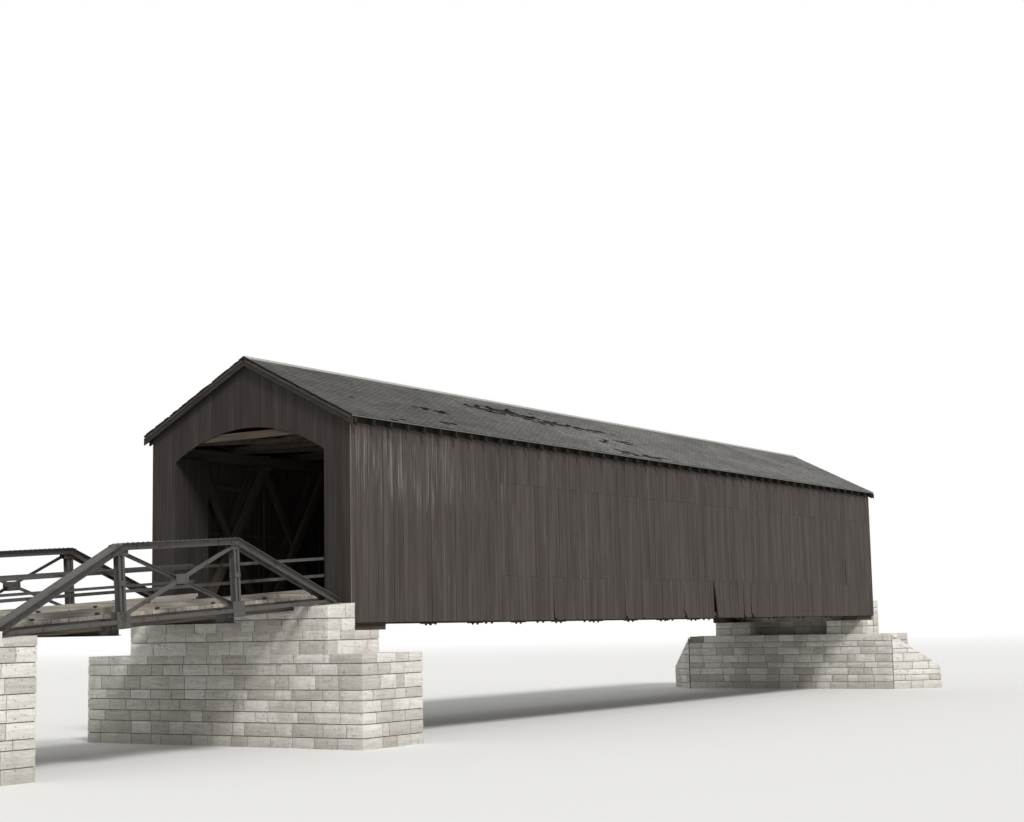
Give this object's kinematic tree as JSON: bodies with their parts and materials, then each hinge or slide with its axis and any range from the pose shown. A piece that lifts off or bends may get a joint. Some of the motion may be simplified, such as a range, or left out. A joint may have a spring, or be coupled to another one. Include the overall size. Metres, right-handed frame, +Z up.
{
  "type": "covered bridge",
  "caption": "Timber covered bridge with Howe trusses, gable roof, arched portals and stone supports, and a steel pony truss approach span.",
  "frame": {"origin": "on the ground, under the middle of the whole bridge", "axes": "+X along the road from the approach span to the back portal, +Y across the road to the left, +Z up"},
  "size_m": [39.441, 10.3256, 8.3735],
  "materials": {
    "masonry": "rough",
    "bridge_timber": "rough sawn",
    "deck_timber": "worn",
    "painted_boards": "weathered paint",
    "roofing": "rough",
    "rod_iron": "rusted",
    "bridge_steel": "weathered paint"
  },
  "bodies": {
    "root": {"river_pier": "masonry", "back_abutment": "masonry", "wing_walls": "masonry", "approach_abutment": "masonry", "left_lower_chord": "bridge_timber", "right_lower_chord": "bridge_timber", "left_upper_chord": "bridge_timber", "right_upper_chord": "bridge_timber", "left_braces": "bridge_timber", "right_braces": "bridge_timber", "left_counters": "bridge_timber", "right_counters": "bridge_timber", "left_angle_blocks": "bridge_timber", "right_angle_blocks": "bridge_timber", "end_posts": "bridge_timber", "left_nailers": "bridge_timber", "right_nailers": "bridge_timber", "floor_beams": "bridge_timber", "lower_laterals": "bridge_timber", "tie_beams": "bridge_timber", "upper_laterals": "bridge_timber", "wall_plates": "bridge_timber", "left_rafters": "bridge_timber", "right_rafters": "bridge_timber", "bolsters": "bridge_timber", "approach_stringers": "bridge_timber", "floor_planks": "deck_timber", "wheel_runners": "deck_timber", "approach_planks": "deck_timber", "approach_curbs": "deck_timber", "left_siding": "painted_boards", "right_siding": "painted_boards", "front_portal": "painted_boards", "back_portal": "painted_boards", "portal_linings": "painted_boards", "barge_boards": "painted_boards", "left_roof": "roofing", "right_roof": "roofing", "ridge_cap": "roofing", "left_rods": "rod_iron", "right_rods": "rod_iron", "left_pony_truss": "bridge_steel", "right_pony_truss": "bridge_steel", "approach_beams": "bridge_steel", "guard_rails": "bridge_steel"}
  },
  "joints": []
}
